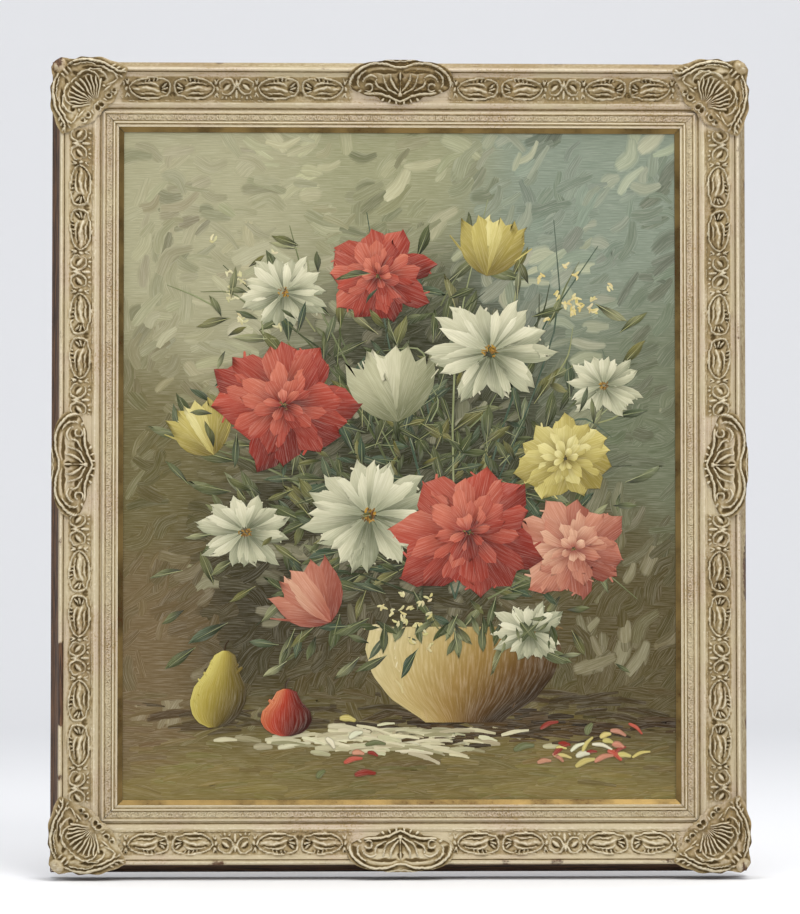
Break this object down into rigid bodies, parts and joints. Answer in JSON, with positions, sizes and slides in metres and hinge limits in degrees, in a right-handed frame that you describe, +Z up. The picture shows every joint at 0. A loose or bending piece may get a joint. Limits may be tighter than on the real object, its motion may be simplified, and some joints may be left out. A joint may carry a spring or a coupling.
{
  "type": "framed oil painting",
  "caption": "Flower still life in oils on stretched canvas, in a swept painted frame with cast corner and centre ornaments and a gilded slip.",
  "frame": {"origin": "on the wall plane, in the middle of the top rail's flat back face", "axes": "+Z up, +Y out of the back into the wall, so the picture faces -Y, and +X to the right seen from the front"},
  "size_m": [0.6222, 0.0501, 0.7242],
  "materials": {
    "painted_wood": "worn cream paint over gold and brown",
    "painted_casting": "worn cream paint with brown in the hollows",
    "gilding": "worn gilding",
    "painted_canvas": "oil paint with raised strokes, bare linen behind",
    "raw_wood": "raw pine",
    "steel_wire": "dull steel"
  },
  "bodies": {
    "root": {"rail_top": "painted_wood", "slip_top": "gilding", "centre_top": "painted_casting", "bar_top": "raw_wood", "brad_top_1": "steel_wire", "brad_top_2": "steel_wire", "rail_right": "painted_wood", "slip_right": "gilding", "centre_right": "painted_casting", "bar_right": "raw_wood", "brad_right_1": "steel_wire", "brad_right_2": "steel_wire", "rail_bottom": "painted_wood", "slip_bottom": "gilding", "centre_bottom": "painted_casting", "bar_bottom": "raw_wood", "brad_bottom_1": "steel_wire", "brad_bottom_2": "steel_wire", "rail_left": "painted_wood", "slip_left": "gilding", "centre_left": "painted_casting", "bar_left": "raw_wood", "brad_left_1": "steel_wire", "brad_left_2": "steel_wire", "corner_top_right": "painted_casting", "corner_bottom_right": "painted_casting", "corner_bottom_left": "painted_casting", "corner_top_left": "painted_casting", "canvas": "painted_canvas", "screw_eye_left": "steel_wire", "screw_eye_right": "steel_wire"}
  },
  "joints": []
}
